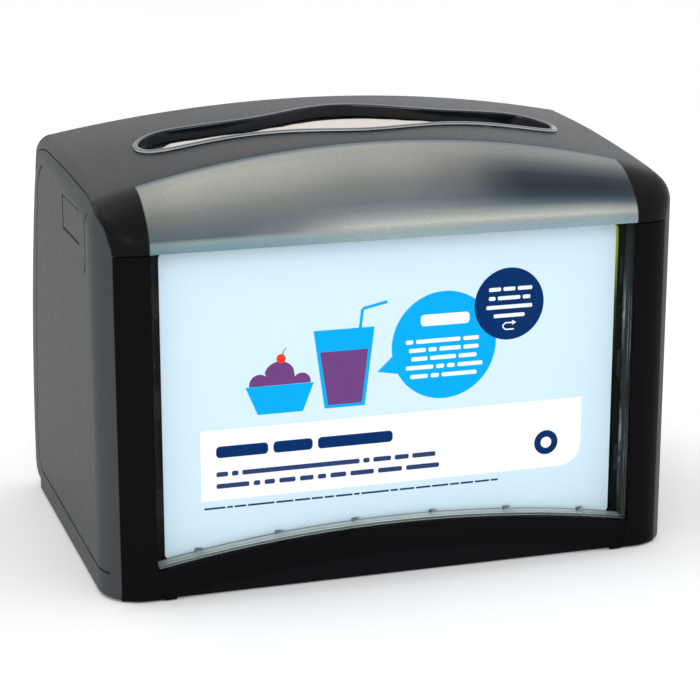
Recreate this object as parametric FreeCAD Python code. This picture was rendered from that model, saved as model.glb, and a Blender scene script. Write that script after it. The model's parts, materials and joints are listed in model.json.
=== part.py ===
import FreeCAD, Part
import math
import os

V = FreeCAD.Vector

# Tabletop napkin dispenser. Millimetres, +Z up, +X to the right, +Y to the rear.
# Everything is laid out with y as the distance behind the front face; export()
# moves it back by half the depth, so the origin is at the footprint's centre.

# Driving dimensions
WIDTH = 307.0
DEPTH = 212.3
CROWN_Z = 224.0
# Heights are laid out from the window frame's foot line, this far above the table
DATUM_Z = 2.0
FLOOR_Z = -1.4
FOOT_Z = -DATUM_Z
WALL = 2.5
COVER_WALL = 2.0
FRAME_WALL = 2.0
SKIN_GAP = 0.2
SEAM_GAP = 0.7
FIT = 0.3
HALF = WIDTH / 2
FAR = 400.0

# Outer body: corner radii, and three points (y, z) of the leaning rear wall
FRONT_CORNER_R = 22.0
EDGE_R = 9.0
HEEL_R = 15.0
TOP_EDGE_R = 11.0
# The rounding of the top edge shrinks this much faster than the inset of a skin
EDGE_SHRINK = 1.5
PLINTH_END = 190.0
PLINTH_TOP = 14.0
PLINTH_EDGE_R = 1.6
REAR_WALL = ((212.0, 30.0), (200.0, 118.0), (181.0, 178.0))

# Crown: (y, centre height, share of the full side-to-side drop)
LIP_Z = 180.0
CROWN_DROP = 9.78e-4
CROWN = (
    (-8.0, 161.0, -0.45),
    (0.0, 180.0, 0.0),
    (2.7, 189.4, 0.243),
    (8.9, 201.2, 0.55),
    (18.0, 212.2, 0.836),
    (28.9, 218.3, 1.0),
    (55.5, 221.0, 0.955),
    (105.8, 223.5, 0.83),
    (144.0, 224.0, 0.745),
    (175.0, 223.4, 0.70),
    (230.0, 219.0, 0.70),
)
CROWN_HALF = 170.0

# Lid seam seen from the side, (y, z), from the front corner to the rear corner
SEAM_Z = 175.0
SEAM = (
    (4.6, 175.0),
    (5.3, 179.5),
    (8.0, 186.0),
    (12.8, 190.2),
    (22.5, 194.2),
    (34.6, 196.9),
    (62.3, 199.9),
    (92.9, 202.3),
    (124.9, 203.8),
    (146.0, 203.8),
    (160.0, 199.5),
    (168.0, 193.5),
    (174.0, 192.0),
)

# Front frame
WINDOW_HALF = 127.5
BAND_TOP_END = 13.5
BAND_TOP_MID = 25.0
CREASE_HALF = 118.0
CREASE_MID = 11.0
PARTING_FOOT = 124.3
POST_EDGE_Y = 4.6
BEZEL_RETURN = 14.0
BASE_SETBACK = 2.7

# Card, window and backing, as distances behind the front face
PANE_Y = 2.2
PANE_T = 1.2
PANE_HALF = WINDOW_HALF - 0.3
PANE_TOP = 174.0
LEDGE_T = 1.3
LEDGE_END = 11.4
LEDGE_LOW = BAND_TOP_END + 1.6
LEDGE_HIGH = BAND_TOP_MID + 1.6
CLIP_X = (-104.0, -62.0, -21.0, 21.0, 62.0, 104.0)
CLIP_Z = (40.0, 92.0, 142.0)
CARD_Y = 12.0
CARD_T = 0.4
CARD_HALF = 121.0
CARD_TOP = 172.8
CARD_LOW_END = 14.6
CARD_LOW_MID = 24.2
BACKING_HALF = 127.3
BACKING_Y = 13.4
BACKING_T = 2.4
CROSSBAR_HALF = 149.6
BACKING_TOP = 173.0

# Slot rim outline, (x, y), right half, from the front middle round to the rear middle
SLOT = (
    (0.0, 50.5),
    (20.0, 54.5),
    (38.0, 60.6),
    (55.0, 65.0),
    (75.0, 67.4),
    (98.0, 68.0),
    (110.0, 71.5),
    (116.3, 84.0),
    (112.5, 97.5),
    (101.0, 106.0),
    (85.0, 105.6),
    (68.0, 102.6),
    (52.0, 101.6),
    (37.0, 105.4),
    (20.0, 112.6),
    (0.0, 116.8),
)
SLOT_SAMPLES = 72
RIM_BEAD = 3.2
RIM_RISE = 1.7
THROAT_T = 1.6
THROAT_DEPTH = 4.6

# Magazine, pusher and napkins
MAG_HALF = 111.0
MAG_WALL = 2.0
MAG_FRONT = 24.0
MAG_REAR = 160.0
MAG_TOP = 194.0
NAPKIN_HALF = 108.0
NAPKIN_FRONT = 27.0
NAPKIN_REAR = 157.0
NAPKIN_COUNT = 18
NAPKIN_T = 1.5
NAPKIN_TOP_FRONT = 212.6
NAPKIN_TOP_REAR = 218.5
PLATE_Z = 94.0
PLATE_T = 2.5
PUSHER_TRAVEL = 60.0
GUIDE_Y = (58.0, 126.0)
GUIDE_W = 10.0
SPRING_X = 60.0
SPRING_Y = 92.0
SPRING_R = 17.0
SPRING_WIRE = 1.8
SPRING_TURNS = 9
COIL_STEPS = 16

# Release buttons and latches
BUTTON_Y = (44.0, 88.0)
BUTTON_Z = (172.6, 190.4)
BUTTON_GAP = 0.7
BUTTON_TRAVEL = 3.0
LATCH_Z = 183.6
CATCH_X = 138.0
CATCH_Y = (57.0, 75.0)

# Hinges, outside the rear wall
HINGE_Y = 180.9
HINGE_Z = 189.5
HINGE_R = 4.2
PIN_R = 1.8
PIN_CLEARANCE = 0.05
HINGE_X = 88.0
LEAF_HALF = 12.0
LEAF_T = 1.6
KNUCKLE_HALF = 5.0
LEAF_SCREW_X = 7.0
LEAF_SCREW_Z = 4.5
LID_LEAF_Z = (193.5, 206.5)
BODY_LEAF_Z = (170.0, 184.6)

# Feet and screws
FOOT_R = 9.0
FOOT_X = 126.0
FOOT_Y = (22.0, 182.0)
SCREW_R = 1.4
SCREW_HEAD_R = 3.0
BASE_SCREW_X = 139.0
BASE_SCREW_Y = (40.0, 110.0, 176.0)
FLOOR_TOP = FLOOR_Z + WALL


def export(node, shape):
    solids = shape.translated(V(0, -DEPTH / 2, DATUM_Z)).Solids
    solid = solids[0] if len(solids) == 1 else Part.makeCompound(solids)
    solid.exportStep("parts/" + node + ".step")
    print("%-24s solids %2d valid %s volume %9.0f" % (node, len(solids), solid.isValid(), solid.Volume))


def box(x0, x1, y0, y1, z0, z1):
    return Part.makeBox(x1 - x0, y1 - y0, z1 - z0, V(x0, y0, z0))


def rounded_box(x0, x1, y0, y1, z0, z1, radius, axis):
    """A box whose edges along one axis are rounded."""
    solid = box(x0, x1, y0, y1, z0, z1)
    edges = [e for e in solid.Edges if abs(e.tangentAt(e.FirstParameter).dot(axis)) > 0.9]
    return solid.makeFillet(radius, edges)


def mirrored(shape):
    return shape.mirror(V(0, 0, 0), V(1, 0, 0))


def both_sides(shape):
    return shape.fuse(mirrored(shape))


def arc_region(end_half, end_z, mid_z, y0, y1, below):
    """All the space above or below an arc that spans the front, seen from the front."""
    arc = Part.Arc(V(-end_half, y0, end_z), V(0, y0, mid_z), V(end_half, y0, end_z)).toShape()
    side = -FAR if below else FAR
    loop = [
        arc,
        Part.makeLine(V(end_half, y0, end_z), V(end_half, y0, side)),
        Part.makeLine(V(end_half, y0, side), V(-end_half, y0, side)),
        Part.makeLine(V(-end_half, y0, side), V(-end_half, y0, end_z)),
    ]
    return Part.Face(Part.Wire(loop)).extrude(V(0, y1 - y0, 0))


# Outer form

REAR_CIRCLE = Part.Circle(*[V(0, y, z) for y, z in REAR_WALL])
REAR_CENTRE = REAR_CIRCLE.Center
REAR_R = REAR_CIRCLE.Radius


def rear_y(z, inset=0.0):
    return REAR_CENTRE.y + math.sqrt((REAR_R - inset) ** 2 - (z - REAR_CENTRE.z) ** 2)


def body_blank(inset, floor):
    """The body without its crown: side outline, rounded rear and side edges, rounded front corners."""
    top = 250.0
    x0 = -HALF + inset
    front_low = V(x0, inset, floor)
    front_top = V(x0, inset, top)
    rear_top = V(x0, rear_y(top, inset), top)
    rear_mid = V(x0, rear_y(120.0, inset), 120.0)
    rear_low = V(x0, rear_y(floor, inset), floor)
    outline = Part.Wire(
        [
            Part.makeLine(front_low, front_top),
            Part.makeLine(front_top, rear_top),
            Part.Arc(rear_top, rear_mid, rear_low).toShape(),
            Part.makeLine(rear_low, front_low),
        ]
    )
    solid = Part.Face(outline).extrude(V(-2 * x0, 0, 0))
    heel = [e for e in solid.Edges if e.BoundBox.ZMax < floor + 0.1 and e.BoundBox.YMin > DEPTH / 2]
    solid = solid.makeFillet(HEEL_R - inset, heel)
    rims = []
    for edge in solid.Edges:
        bounds = edge.BoundBox
        on_side = bounds.XLength < 0.01
        if on_side and (bounds.YMin > DEPTH / 2 or bounds.ZMax < floor + 0.1) and bounds.ZMin < 240.0:
            rims.append(edge)
    solid = solid.makeFillet(EDGE_R - inset, rims)
    solid = solid.fuse(box(x0, -x0, inset, PLINTH_END - inset, floor, PLINTH_TOP))
    plan = box(x0, -x0, inset, FAR, floor, top + 10.0)
    corners = [e for e in plan.Edges if e.BoundBox.ZLength > 100 and e.BoundBox.YMax < inset + 0.1]
    solid = solid.common(plan.makeFillet(FRONT_CORNER_R - inset, corners)).removeSplitter()
    if inset > PLINTH_EDGE_R - 0.5:
        return solid
    foot = [e for e in solid.Edges if e.BoundBox.ZMax < floor + 0.1 and e.BoundBox.YMax < PLINTH_END + 0.1]
    return solid.makeFillet(PLINTH_EDGE_R - inset, [e for e in foot if e.BoundBox.YMin < 150.0])


def crown_profile(x, inset):
    """Points down the crown at one x, moved inwards along their normals."""
    knots = [float(i) for i in range(len(CROWN))]
    curve = Part.BSplineCurve()
    points = [V(0, y, z - share * CROWN_DROP * x * x) for y, z, share in CROWN]
    curve.interpolate(Points=points, Parameters=knots)
    moved = []
    for knot in knots:
        tangent = curve.tangent(knot)[0]
        moved.append(curve.value(knot) + V(0, tangent.z, -tangent.y) * inset)
    return moved


def crown_face(inset):
    """The crowned top: every section across it is a parabola."""
    knots = [float(i) for i in range(len(CROWN))]
    mid = crown_profile(0.0, inset)
    end = crown_profile(CROWN_HALF, inset)
    control = [m * 2 - e for m, e in zip(mid, end)]
    rows = []
    for x, line in ((-CROWN_HALF, end), (0.0, control), (CROWN_HALF, end)):
        curve = Part.BSplineCurve()
        curve.interpolate(Points=[V(x, p.y, p.z) for p in line], Parameters=knots)
        rows.append(curve)
    surface = Part.BSplineSurface()
    surface.buildFromPolesMultsKnots(
        [row.getPoles() for row in rows],
        [3, 3],
        rows[0].getMultiplicities(),
        [0.0, 1.0],
        rows[0].getKnots(),
        False,
        False,
        2,
        rows[0].Degree,
    )
    return surface.toShape()


def under_crown(inset):
    return crown_face(inset).extrude(V(0, 0, -FAR))


def envelope(inset):
    """The whole outer form, moved inwards by a distance."""
    solid = body_blank(inset, FLOOR_Z + inset).common(under_crown(inset)).Solids[0]
    top_loop = [e for e in solid.Edges if e.BoundBox.ZMin > LIP_Z - 25]
    return solid.makeFillet(TOP_EDGE_R - EDGE_SHRINK * inset, top_loop)


def above_seam(shift_y=0.0, shift_z=0.0):
    """Everything above the lid's seam."""
    points = [V(-FAR, y, z) for y, z in SEAM]
    curve = Part.BSplineCurve()
    curve.interpolate(points)
    start, end = points[0], points[-1]
    path = [
        V(-FAR, -20.0, SEAM_Z),
        V(-FAR, -20.0, FAR),
        V(-FAR, FAR, FAR),
        V(-FAR, FAR, end.z),
    ]
    loop = [
        curve.toShape(),
        Part.makeLine(end, path[3]),
        Part.makeLine(path[3], path[2]),
        Part.makeLine(path[2], path[1]),
        Part.makeLine(path[1], path[0]),
        Part.makeLine(path[0], start),
    ]
    return Part.Face(Part.Wire(loop)).extrude(V(2 * FAR, 0, 0)).translated(V(0, shift_y, shift_z))


def slot_prism(outset):
    """The slot's outline grown outwards, as a tall prism."""
    right = [V(x, y, 100.0) for x, y in SLOT]
    left = [V(-x, y, 100.0) for x, y in reversed(SLOT[1:-1])]
    curve = Part.BSplineCurve()
    curve.interpolate(Points=right + left, PeriodicFlag=True)
    span = curve.LastParameter - curve.FirstParameter
    points = []
    for index in range(SLOT_SAMPLES):
        u = curve.FirstParameter + span * index / SLOT_SAMPLES
        tangent = curve.tangent(u)[0]
        points.append(curve.value(u) + V(tangent.y, -tangent.x, 0) * outset)
    grown = Part.BSplineCurve()
    grown.interpolate(Points=points, PeriodicFlag=True)
    return Part.Face(Part.Wire([grown.toShape()])).extrude(V(0, 0, FAR))


# Body panels


def groove_cutter(path, skin):
    """A round-ended groove in the side skin, along a path in (y, z)."""
    wire = path.makeOffset2D(0.65, 0, False, False)
    return Part.Face(wire).extrude(V(2 * HALF, 0, 0)).common(skin)


def side_grooves():
    """The two grooves pressed into each side panel, as paths in the plane x = 0."""
    rear = [V(0, y, z) for y, z in ((146.0, 194.8), (156.5, 188.0), (162.8, 178.4))]
    low = V(0, 193.6, 27.0)
    heel = [V(0, 190.2, 16.6), V(0, 181.0, 12.4)]
    long_path = Part.Wire(
        [
            Part.Arc(*rear).toShape(),
            Part.Arc(rear[2], V(0, 180.4, 112.0), low).toShape(),
            Part.Arc(low, heel[0], heel[1]).toShape(),
            Part.makeLine(heel[1], V(0, 10.0, 12.4)),
        ]
    )
    short_path = Part.Wire(
        [
            Part.makeLine(V(0, 27.0, 191.4), V(0, 28.6, 187.6)),
            Part.makeLine(V(0, 28.6, 187.6), V(0, 29.4, 166.0)),
            Part.makeLine(V(0, 29.4, 166.0), V(0, 33.6, 160.2)),
        ]
    )
    return long_path, short_path


def post_boundary(gap):
    """The space of the right front post, back to its joint with the side panel."""
    points = [
        (PARTING_FOOT + gap, -10.0),
        (PARTING_FOOT + gap, FLOOR_Z),
        (WINDOW_HALF + gap, BAND_TOP_END),
        (WINDOW_HALF + gap, FAR),
        (FAR, FAR),
        (FAR, -10.0),
    ]
    corners = [V(x, -10.0, z) for x, z in points]
    face = Part.Face(Part.makePolygon(corners + corners[:1]))
    return face.extrude(V(0, POST_EDGE_Y + 10.0, 0))


def front_post(shell):
    """Right front post: corner skin, return wall beside the window and a top line."""
    skin = shell.common(post_boundary(0.0))
    back = box(WINDOW_HALF, WINDOW_HALF + 2.0, 1.0, BEZEL_RETURN, BAND_TOP_END, SEAM_Z - SEAM_GAP)
    line = box(WINDOW_HALF - 5, HALF, -1.0, 0.3, 164.6, 165.1)
    return skin.fuse(back).cut(line).removeSplitter()


def bottom_band():
    """Arched band across the foot of the front, with a shelf under the window's ledge."""
    upper = arc_region(WINDOW_HALF, BAND_TOP_END, BAND_TOP_MID, 0.0, LEDGE_END, True)
    inner = arc_region(WINDOW_HALF, BAND_TOP_END - 2.0, BAND_TOP_MID - 2.0, WALL, LEDGE_END + 1, True)
    lower = arc_region(CREASE_HALF, 0.0, CREASE_MID, -1.0, LEDGE_END + 1, True)
    plate = box(-WINDOW_HALF, WINDOW_HALF, 0.0, LEDGE_END, FLOOR_Z, BAND_TOP_MID + 1)
    ends = post_boundary(-0.15)
    ends = ends.fuse(box(WINDOW_HALF - 0.15, FAR, 0.0, FAR, BAND_TOP_END, FAR))
    ends = ends.fuse(box(PARTING_FOOT - 0.15, FAR, POST_EDGE_Y - 0.1, FAR, -10.0, BAND_TOP_END))
    band = plate.common(upper).cut(inner).cut(lower).cut(both_sides(ends))
    edges = [e for e in band.Edges if e.BoundBox.YMax < 0.01 and e.BoundBox.XLength > 150]
    return band.makeFillet(0.8, edges)


def base_tray():
    """Floor plate, the dark front wall behind the band, spring cups and foot pockets."""
    tray = box(-145.0, 145.0, POST_EDGE_Y + FIT, 196.0, FLOOR_Z, FLOOR_TOP)
    front = box(-123.5, 123.5, BASE_SETBACK, BASE_SETBACK + WALL, FLOOR_Z, 14.0)
    shelf = arc_region(CREASE_HALF + 6, 0.0, BAND_TOP_MID - 2.3, 0.0, FAR, True)
    tray = tray.fuse(front.common(shelf)).fuse(
        box(-123.5, 123.5, BASE_SETBACK, 10.0, FLOOR_Z, FLOOR_TOP)
    )
    for x in (-SPRING_X, SPRING_X):
        outer = Part.makeCylinder(SPRING_R + 3.2, 9.0, V(x, SPRING_Y, FLOOR_TOP))
        inner = Part.makeCylinder(SPRING_R + 1.2, 9.0, V(x, SPRING_Y, FLOOR_TOP))
        tray = tray.fuse(outer.cut(inner))
    for x in (-FOOT_X, FOOT_X):
        for y in FOOT_Y:
            tray = tray.cut(Part.makeCylinder(FOOT_R, 1.4, V(x, y, FLOOR_Z)))
    for x, y in base_screw_places():
        tray = tray.cut(Part.makeCylinder(SCREW_HEAD_R + 0.2, 1.3, V(x, y, FLOOR_Z)))
        tray = tray.cut(Part.makeCylinder(SCREW_R + 0.2, 5.0, V(x, y, FLOOR_Z)))
    return tray.removeSplitter()


def base_screw_places():
    return [(x, y) for x in (-BASE_SCREW_X, BASE_SCREW_X) for y in BASE_SCREW_Y]


def base_screws():
    screws = []
    for x, y in base_screw_places():
        head = Part.makeCylinder(SCREW_HEAD_R, 1.2, V(x, y, FLOOR_Z + 0.1))
        shank = Part.makeCylinder(SCREW_R, 10.0, V(x, y, FLOOR_Z + 0.1))
        cross = box(x - 1.8, x + 1.8, y - 0.35, y + 0.35, FLOOR_Z, FLOOR_Z + 0.8)
        cross = cross.fuse(box(x - 0.35, x + 0.35, y - 1.8, y + 1.8, FLOOR_Z, FLOOR_Z + 0.8))
        screws.append(head.fuse(shank).cut(cross))
    return Part.makeCompound(screws)


def rubber_feet():
    feet = []
    for x in (-FOOT_X, FOOT_X):
        for y in FOOT_Y:
            foot = Part.makeCylinder(FOOT_R - 0.1, 2.0, V(x, y, FOOT_Z))
            low = [e for e in foot.Edges if e.BoundBox.ZMax < FOOT_Z + 0.1]
            feet.append(foot.makeFillet(0.5, low))
    return Part.makeCompound(feet)


def side_panel(shell, skin):
    """Right side panel with its grooves, button opening and screw flange."""
    region = box(135.0, FAR, POST_EDGE_Y + FIT, 150.0, FLOOR_TOP, FAR)
    region = region.fuse(box(143.8, FAR, 149.0, FAR, FLOOR_TOP, FAR))
    region = region.fuse(box(145.3, FAR, POST_EDGE_Y + FIT, FAR, 0.0, FLOOR_TOP))
    panel = shell.common(region)
    flange = box(131.0, HALF - WALL + 0.5, 30.0, 186.0, FLOOR_TOP, FLOOR_TOP + 2.0)
    for y in BASE_SCREW_Y:
        flange = flange.fuse(Part.makeCylinder(4.0, 10.0, V(BASE_SCREW_X, y, FLOOR_TOP)))
        flange = flange.cut(Part.makeCylinder(SCREW_R, 8.0, V(BASE_SCREW_X, y, FLOOR_TOP)))
    panel = panel.fuse(flange)
    y0, y1 = BUTTON_Y
    z0, z1 = BUTTON_Z
    panel = panel.cut(rounded_box(HALF - 6, HALF + 6, y0, y1, z0, z1, 1.0, V(1, 0, 0)))
    for path in side_grooves():
        panel = panel.cut(groove_cutter(path, skin))
    return panel.removeSplitter()


def rear_shell(shell):
    """Rear wall between the side panels, with an inner rib behind each hinge."""
    wall = shell.common(box(-143.5, 143.5, 150.0, FAR, FLOOR_TOP, FAR))
    heel = shell.common(box(-143.5, 143.5, 196.3, FAR, 0.0, FLOOR_TOP + 0.1))
    return wall.fuse(heel).removeSplitter()


def top_crossbar():
    """Bar behind the top of the card, from one side panel to the other, with a lip downwards."""
    back = MAG_FRONT - MAG_WALL - 0.2
    bar = box(-CROSSBAR_HALF, CROSSBAR_HALF, BACKING_Y + BACKING_T, back, 172.4, 174.0)
    lip = box(-BACKING_HALF, BACKING_HALF, back - 1.6, back, 166.0, 172.4)
    return bar.fuse(lip).removeSplitter()


# Window and card


def clear_window():
    """Pane with a ledge along its foot and both sides."""
    upper = box(-PANE_HALF, PANE_HALF, PANE_Y, LEDGE_END, 0.0, PANE_TOP)
    foot = arc_region(WINDOW_HALF, BAND_TOP_END + 0.2, BAND_TOP_MID + 0.2, 0.0, FAR, False)
    blank = upper.common(foot)
    inner_foot = arc_region(WINDOW_HALF, LEDGE_LOW, LEDGE_HIGH, 0.0, FAR, False)
    inner_half = PANE_HALF - LEDGE_T
    core = box(-inner_half, inner_half, PANE_Y + PANE_T, LEDGE_END + 1, 0.0, FAR)
    return blank.cut(core.common(inner_foot)).removeSplitter()


def arch_height(x, end_z, mid_z):
    """Height of the window's foot arc at x."""
    rise = mid_z - end_z
    radius = (WINDOW_HALF**2 + rise**2) / (2 * rise)
    return mid_z - radius + math.sqrt(radius**2 - x * x)


def window_clips():
    """Small clear tabs that hold the card: six along the foot, three down each side."""
    clips = []
    above_ledge = arc_region(WINDOW_HALF, LEDGE_LOW + 0.1, LEDGE_HIGH + 0.1, 0.0, FAR, False)
    for x in CLIP_X:
        z = arch_height(x, LEDGE_LOW, LEDGE_HIGH)
        tab = box(x - 3.2, x + 3.2, PANE_Y + PANE_T, 7.5, z - 2.0, z + 2.7)
        foot = box(x - 2.0, x + 2.0, 7.0, LEDGE_END, z - 2.0, z + 1.7)
        clips.append(tab.fuse(foot).common(above_ledge).removeSplitter())
    for z in CLIP_Z:
        right = box(PANE_HALF - LEDGE_T - 3.7, PANE_HALF - LEDGE_T, 6.6, 8.0, z, z + 14.0)
        clips += [right, mirrored(right)]
    return Part.makeCompound(clips)


def insert_card(y0, x_shift, z_shift):
    """A printed card with an arched foot and rounded corners."""
    sheet = box(-CARD_HALF + x_shift, CARD_HALF + x_shift, y0, y0 + CARD_T, 0.0, CARD_TOP + z_shift)
    foot = arc_region(CARD_HALF + 5, CARD_LOW_END, CARD_LOW_MID, 0.0, FAR, False)
    sheet = sheet.common(foot)
    corners = []
    for edge in sheet.Edges:
        if edge.BoundBox.XLength < 0.01 and edge.BoundBox.ZLength < 0.01:
            corners.append(edge)
    return sheet.makeFillet(2.5, corners)


def card_backing():
    """Black plate behind the card; it is also the front of the napkin space."""
    plate = box(-BACKING_HALF, BACKING_HALF, BACKING_Y, BACKING_Y + BACKING_T, FLOOR_TOP, BACKING_TOP)
    for x in (-112.0, 110.0):
        rib = box(x, x + 2.0, BACKING_Y + BACKING_T, MAG_FRONT - MAG_WALL - 0.2, FLOOR_TOP, 150.0)
        plate = plate.fuse(rib)
    return plate.removeSplitter()


# Magazine, pusher and napkins


def magazine_side():
    """Right wall of the napkin space, with two slots for the pusher's shoes."""
    wall = box(MAG_HALF, MAG_HALF + MAG_WALL, MAG_FRONT, MAG_REAR, FLOOR_TOP, MAG_TOP)
    foot = box(MAG_HALF, MAG_HALF + 10.0, MAG_FRONT + 6, MAG_REAR - 6, FLOOR_TOP, FLOOR_TOP + 2.0)
    wall = wall.fuse(foot)
    for y in GUIDE_Y:
        half = GUIDE_W / 2 + 0.5
        slot = rounded_box(MAG_HALF - 1, MAG_HALF + 4, y - half, y + half, 22.0, 188.0, 3.0, V(1, 0, 0))
        wall = wall.cut(slot)
    return wall.removeSplitter()


def magazine_wall(y0, y1, top):
    """Front or rear wall of the napkin space."""
    return box(-MAG_HALF - MAG_WALL, MAG_HALF + MAG_WALL, y0, y1, FLOOR_TOP, top)


def pusher_plate():
    """Lifting plate with a rim of ribs and two spring cups under it."""
    plate = box(-110.0, 110.0, MAG_FRONT + 1.0, MAG_REAR - 1.0, PLATE_Z, PLATE_Z + PLATE_T)
    for y in (MAG_FRONT + 1.0, MAG_REAR - 3.0):
        plate = plate.fuse(box(-108.0, 108.0, y, y + 2.0, PLATE_Z - 6.0, PLATE_Z))
    for x in (-108.0, -1.0, 106.0):
        plate = plate.fuse(box(x, x + 2.0, MAG_FRONT + 1.0, MAG_REAR - 1.0, PLATE_Z - 6.0, PLATE_Z))
    for x in (-SPRING_X, SPRING_X):
        outer = Part.makeCylinder(SPRING_R + 3.2, 6.0, V(x, SPRING_Y, PLATE_Z - 6.0))
        inner = Part.makeCylinder(SPRING_R + 1.2, 6.0, V(x, SPRING_Y, PLATE_Z - 6.0))
        plate = plate.fuse(outer.cut(inner))
    return plate.removeSplitter()


def guide_shoes():
    """Four shoes on the pusher that run in the magazine's slots."""
    shoes = []
    for y in GUIDE_Y:
        half = GUIDE_W / 2
        neck = box(110.0, 114.2, y - half, y + half, PLATE_Z - 6.0, PLATE_Z + PLATE_T)
        head = box(113.4, 115.2, y - half - 2.0, y + half + 2.0, PLATE_Z - 6.0, PLATE_Z + PLATE_T)
        shoes.append(neck.fuse(head).removeSplitter())
    return Part.makeCompound(shoes + [mirrored(s) for s in shoes])


def coil_spring(radius, wire, turns, length):
    """A coil standing on the plane z = 0, its round wire drawn with eight flats of the same area."""
    pitch = (length - wire) / turns
    rise = pitch / (2 * math.pi * radius)
    corner = wire / 2 * math.sqrt(math.pi / (2 * math.sqrt(2)))
    sections = []
    for step in range(turns * COIL_STEPS + 1):
        turn = 2 * math.pi * step / COIL_STEPS
        out = V(math.cos(turn), math.sin(turn), 0)
        up = out.cross(V(-math.sin(turn), math.cos(turn), rise).normalize())
        centre = out * radius + V(0, 0, wire / 2 + pitch * step / COIL_STEPS)
        points = []
        for side in range(8):
            angle = math.pi * (side + 0.5) / 4
            points.append(centre + out * (corner * math.cos(angle)) + up * (corner * math.sin(angle)))
        sections.append(Part.makePolygon(points + points[:1]))
    return Part.makeLoft(sections, True, True)


def pusher_spring():
    length = PLATE_Z - FLOOR_TOP
    coil = coil_spring(SPRING_R, SPRING_WIRE, SPRING_TURNS, length)
    return coil.translated(V(SPRING_X, SPRING_Y, FLOOR_TOP))


def arched_sheet(front_z, rear_z, sag):
    """One folded napkin: flat along y, arched across x."""
    surface = Part.BezierSurface()
    surface.increase(2, 1)
    lows = ((NAPKIN_FRONT, front_z), (NAPKIN_REAR, rear_z))
    for column, (y, z) in enumerate(lows, 1):
        surface.setPole(1, column, V(-NAPKIN_HALF, y, z - sag))
        surface.setPole(2, column, V(0, y, z + sag))
        surface.setPole(3, column, V(NAPKIN_HALF, y, z - sag))
    return surface.toShape().extrude(V(0, 0, -NAPKIN_T))


def napkin_stack():
    """The bundle: the sheets lie flat on the pusher and arch towards the lid."""
    sheets = []
    low = PLATE_Z + PLATE_T + NAPKIN_T
    full_sag = 0.9 * CROWN_DROP * NAPKIN_HALF**2
    for index in range(NAPKIN_COUNT):
        share = index / (NAPKIN_COUNT - 1)
        front_z = low + (NAPKIN_TOP_FRONT - low) * share
        rear_z = low + (NAPKIN_TOP_REAR - low) * share
        sheets.append(arched_sheet(front_z, rear_z, full_sag * share))
    return Part.makeCompound(sheets)


# Release buttons


def release_button(behind_panel):
    """Right button: cap in the panel's opening and a wider flange behind it."""
    y0, y1 = (BUTTON_Y[0] + BUTTON_GAP, BUTTON_Y[1] - BUTTON_GAP)
    z0, z1 = (BUTTON_Z[0] + BUTTON_GAP, BUTTON_Z[1] - BUTTON_GAP)
    cap = rounded_box(150.0, HALF - 0.2, y0, y1, z0, z1, 0.8, V(1, 0, 0))
    face = [e for e in cap.Edges if e.BoundBox.XMin > HALF - 0.3]
    cap = cap.makeFillet(0.4, face)
    flange = box(149.2, 150.6, y0 - 3.0, y1 + 3.0, z0 - 3.0, z1 + 2.0)
    return cap.fuse(flange.common(behind_panel)).removeSplitter()


def latch_slide():
    """Right latch: a plate with a window that the lid's catch drops through."""
    plate = box(127.0, 149.2, 50.0, 83.0, LATCH_Z, LATCH_Z + 2.0)
    window = box(CATCH_X - 2.0 - FIT, 144.5, 54.0, 79.5, LATCH_Z - 1, LATCH_Z + 3)
    upright = box(147.4, 149.2, 50.0, 83.0, 175.0, LATCH_Z + 2.0)
    tail = box(127.0, 129.0, 60.0, 72.0, 174.0, LATCH_Z + 2.0)
    return plate.cut(window).fuse(upright).fuse(tail).removeSplitter()


def button_spring():
    """Right button's return spring, between the magazine wall and the latch's tail."""
    start = MAG_HALF + MAG_WALL
    coil = coil_spring(3.2, 0.8, 6, 127.0 - start)
    coil.rotate(V(0, 0, 0), V(0, 1, 0), 90)
    return coil.translated(V(start, 66.0, 178.5))


# Lid


def lid_cover(outer, inner, zone):
    """Smoked outer moulding of the lid."""
    return outer.cut(inner).common(zone).cut(slot_prism(THROAT_T + 0.1 - RIM_BEAD)).removeSplitter()


def lid_frame(outer, inner, zone):
    """Black skin under the cover, open behind the frosted window and at the slot."""
    frame = outer.cut(inner).common(zone)
    window = box(-WINDOW_HALF, WINDOW_HALF, -10.0, 29.6, 100.0, FAR)
    frame = frame.cut(window).cut(slot_prism(THROAT_T + 0.1 - RIM_BEAD))
    return max(frame.Solids, key=lambda s: s.Volume)


def slot_rim():
    """Raised bead round the slot and the throat wall below it."""
    raised = under_crown(-RIM_RISE)
    outer = slot_prism(0.0)
    mouth = slot_prism(-RIM_BEAD)
    throat = slot_prism(THROAT_T - RIM_BEAD)
    bead = outer.cut(mouth).common(raised).cut(under_crown(0.0))
    wall = throat.cut(mouth).common(raised).cut(under_crown(THROAT_DEPTH))
    rim = bead.fuse(wall).removeSplitter()
    crest = [e for e in rim.Edges if e.CenterOfMass.z > 218.0 and on_crown(e, RIM_RISE)]
    return rim.makeFillet(1.1, crest)


def on_crown(edge, rise):
    """Whether an edge's first point lies on the crown raised by a distance."""
    point = edge.valueAt(edge.FirstParameter)
    return crown_face(-rise).distToShape(Part.Vertex(point))[0] < 0.01


def lid_catch(inner):
    """Right catch: a tab under the lid with a barb that faces inwards."""
    tab = box(CATCH_X, CATCH_X + 2.0, CATCH_Y[0], CATCH_Y[1], 179.8, 210.0)
    slope = [(CATCH_X - 0.6, 179.8), (CATCH_X, 179.8), (CATCH_X, 183.3), (CATCH_X - 2.0, 183.3)]
    corners = [V(x, CATCH_Y[0], z) for x, z in slope]
    barb = Part.Face(Part.makePolygon(corners + corners[:1])).extrude(V(0, CATCH_Y[1] - CATCH_Y[0], 0))
    return tab.common(inner).fuse(barb).removeSplitter()


def lid_screw_places():
    return [(x, y) for x in (-131.0, 131.0) for y in (62.0, 148.0)]


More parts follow.
